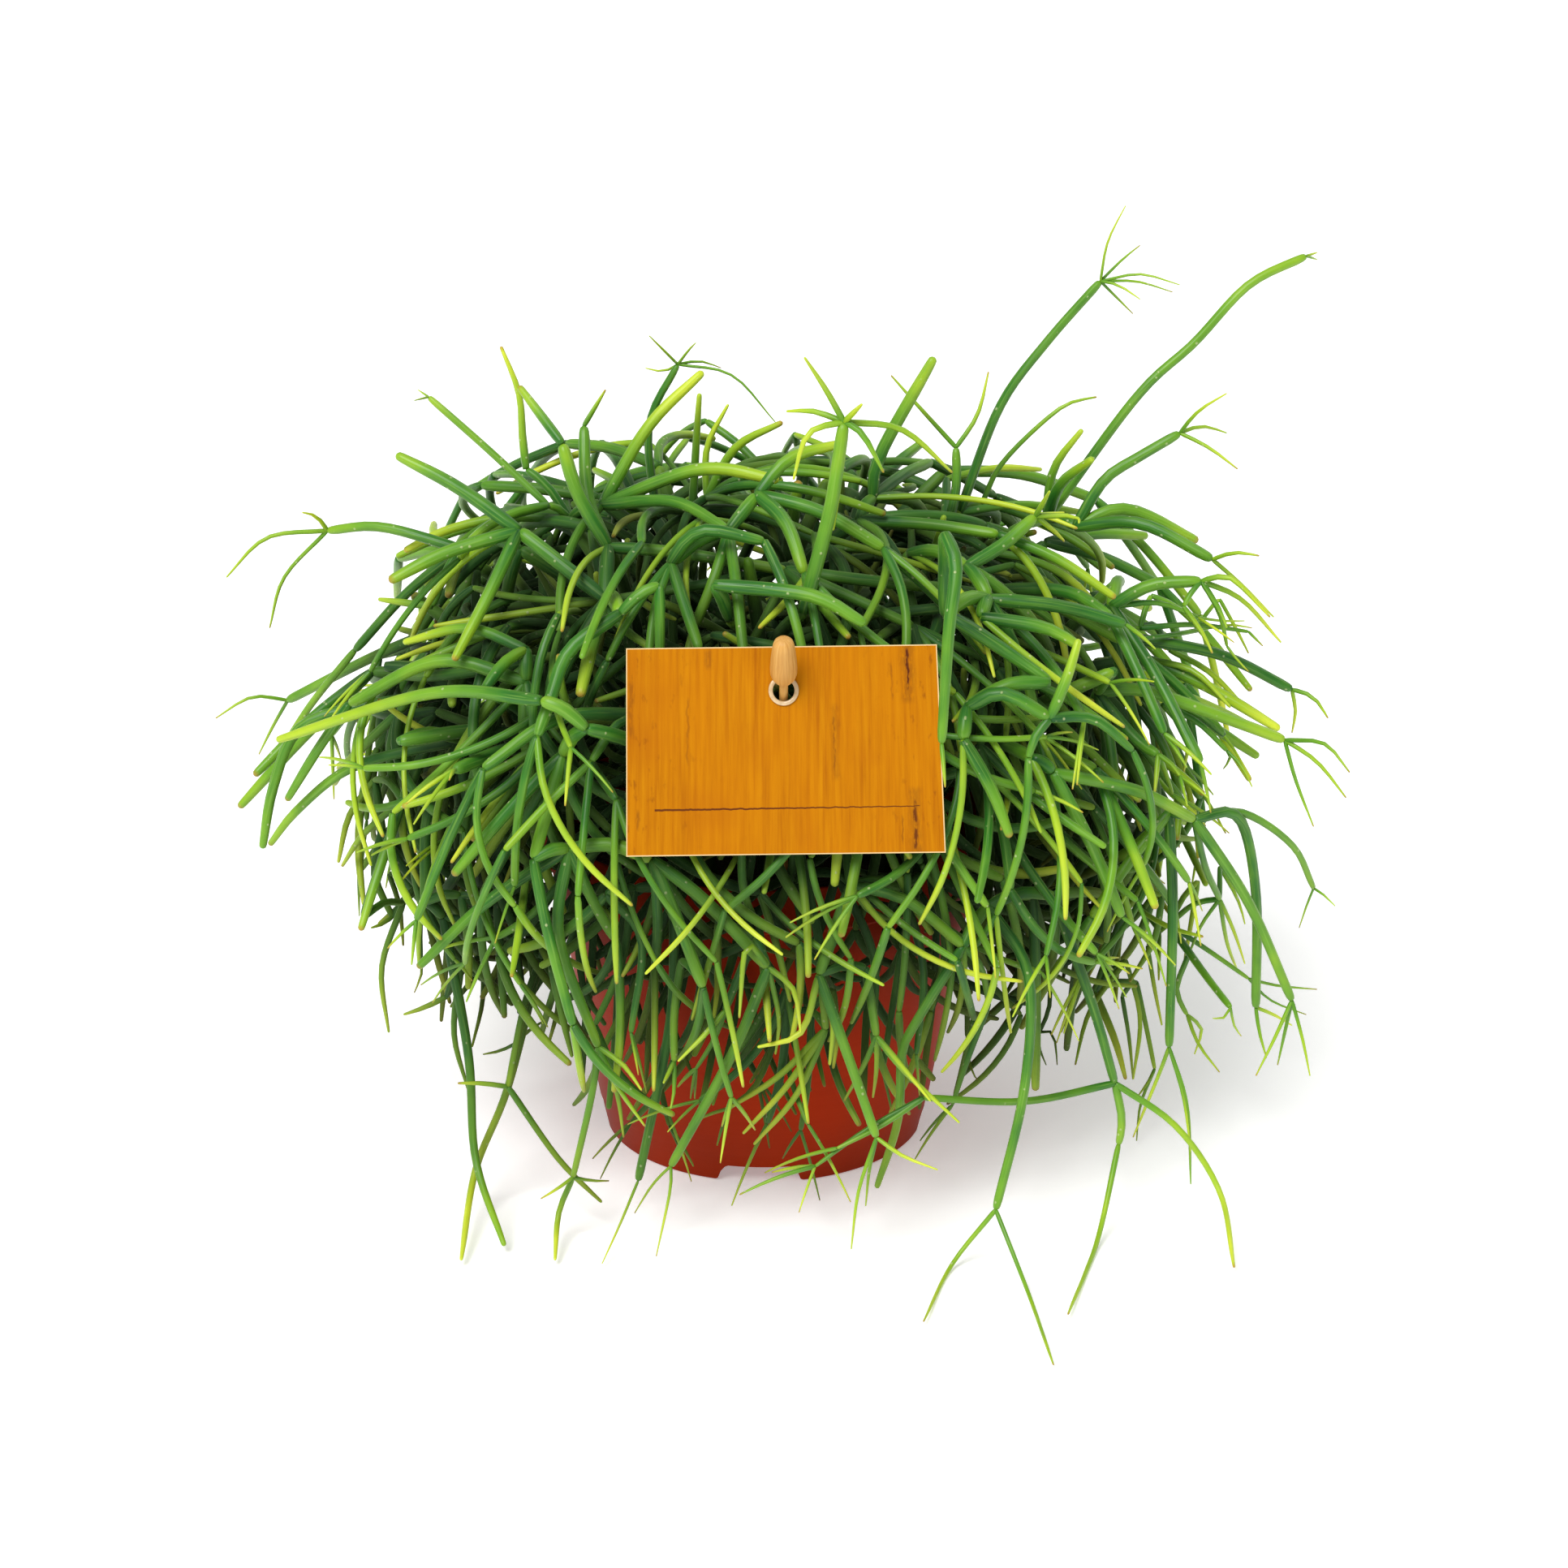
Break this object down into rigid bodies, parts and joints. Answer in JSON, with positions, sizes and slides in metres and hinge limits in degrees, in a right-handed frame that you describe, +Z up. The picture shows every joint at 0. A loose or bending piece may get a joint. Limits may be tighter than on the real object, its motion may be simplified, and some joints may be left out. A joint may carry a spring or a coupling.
{
  "type": "mistletoe cactus in pot",
  "caption": "Bushy mistletoe cactus with thin forked green stems that arch over the rim of a terracotta-coloured plastic pot, with a small wood-print label card on a wooden pin.",
  "frame": {"origin": "on the surface that the pot stands on, under the middle of the pot and of the plant", "axes": "+Z up along the pot's axis, -Y out of the front, where the label card faces, +X to the right seen from the front"},
  "size_m": [0.3017, 0.2944, 0.2555],
  "materials": {
    "pot_plastic": "satin",
    "potting_soil": "matte",
    "green_stem": "satin",
    "printed_card": "satin",
    "pale_eyelet": "gloss",
    "pale_wood": "satin"
  },
  "bodies": {
    "root": {"pot": "pot_plastic", "soil": "potting_soil", "cutting_01": "green_stem", "cutting_02": "green_stem", "cutting_03": "green_stem", "cutting_04": "green_stem", "cutting_05": "green_stem", "cutting_06": "green_stem", "cutting_07": "green_stem", "cutting_08": "green_stem", "cutting_09": "green_stem", "cutting_10": "green_stem", "cutting_11": "green_stem", "cutting_12": "green_stem", "cutting_13": "green_stem", "cutting_14": "green_stem", "cutting_15": "green_stem", "cutting_16": "green_stem", "label_card": "printed_card", "eyelet": "pale_eyelet", "label_pin": "pale_wood"}
  },
  "joints": []
}
